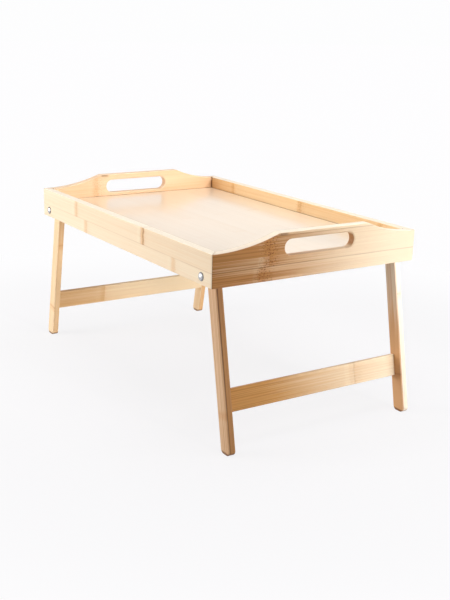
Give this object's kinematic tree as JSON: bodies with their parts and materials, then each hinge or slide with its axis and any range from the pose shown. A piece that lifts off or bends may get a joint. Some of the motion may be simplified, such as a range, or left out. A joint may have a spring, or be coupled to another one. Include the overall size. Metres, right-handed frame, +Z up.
{
  "type": "folding tray table",
  "caption": "Bamboo bed tray with raised, slotted end rails as handles, on two hinged leg frames that fold flat under its panel.",
  "frame": {"origin": "on the floor under the middle of the tray, with the legs unfolded", "axes": "+X along the tray's length to the right, +Y to the back, +Z up"},
  "size_m": [0.5532, 0.3218, 0.263],
  "materials": {
    "rail_bamboo": "satin lacquer over laminated bamboo strips",
    "leg_bamboo": "satin lacquer over bamboo",
    "panel_bamboo": "pale satin lacquer over thin bamboo board",
    "dowel_wood": "plain turned wood",
    "bright_steel": "bright plated steel",
    "plain_steel": "zinc plated steel",
    "nylon": "natural nylon"
  },
  "bodies": {
    "tray": {"front_rail": "rail_bamboo", "back_rail": "rail_bamboo", "left_end_rail": "rail_bamboo", "right_end_rail": "rail_bamboo", "tray_panel": "panel_bamboo", "front_left_corner_dowels": "dowel_wood", "front_left_pivot_bolt": "bright_steel", "front_left_spacer_washer": "nylon", "front_left_inner_washer": "plain_steel", "front_left_lock_nut": "plain_steel", "back_left_corner_dowels": "dowel_wood", "back_left_pivot_bolt": "bright_steel", "back_left_spacer_washer": "nylon", "back_left_inner_washer": "plain_steel", "back_left_lock_nut": "plain_steel", "front_right_corner_dowels": "dowel_wood", "front_right_pivot_bolt": "bright_steel", "front_right_spacer_washer": "nylon", "front_right_inner_washer": "plain_steel", "front_right_lock_nut": "plain_steel", "back_right_corner_dowels": "dowel_wood", "back_right_pivot_bolt": "bright_steel", "back_right_spacer_washer": "nylon", "back_right_inner_washer": "plain_steel", "back_right_lock_nut": "plain_steel"},
    "left_leg_frame": {"front_left_leg": "leg_bamboo", "back_left_leg": "leg_bamboo", "left_stretcher": "leg_bamboo", "left_stretcher_dowels": "dowel_wood"},
    "right_leg_frame": {"front_right_leg": "leg_bamboo", "back_right_leg": "leg_bamboo", "right_stretcher": "leg_bamboo", "right_stretcher_dowels": "dowel_wood"}
  },
  "joints": [
    {"name": "left_leg_fold", "type": "hinge", "parent": "tray", "child": "left_leg_frame", "pos_m": [-0.2267, 0, 0.2153], "axis": [0, -1, 0], "range_deg": [0, 101]},
    {"name": "right_leg_fold", "type": "hinge", "parent": "tray", "child": "right_leg_frame", "pos_m": [0.2267, 0, 0.2153], "axis": [0, 1, 0], "range_deg": [0, 101]}
  ]
}
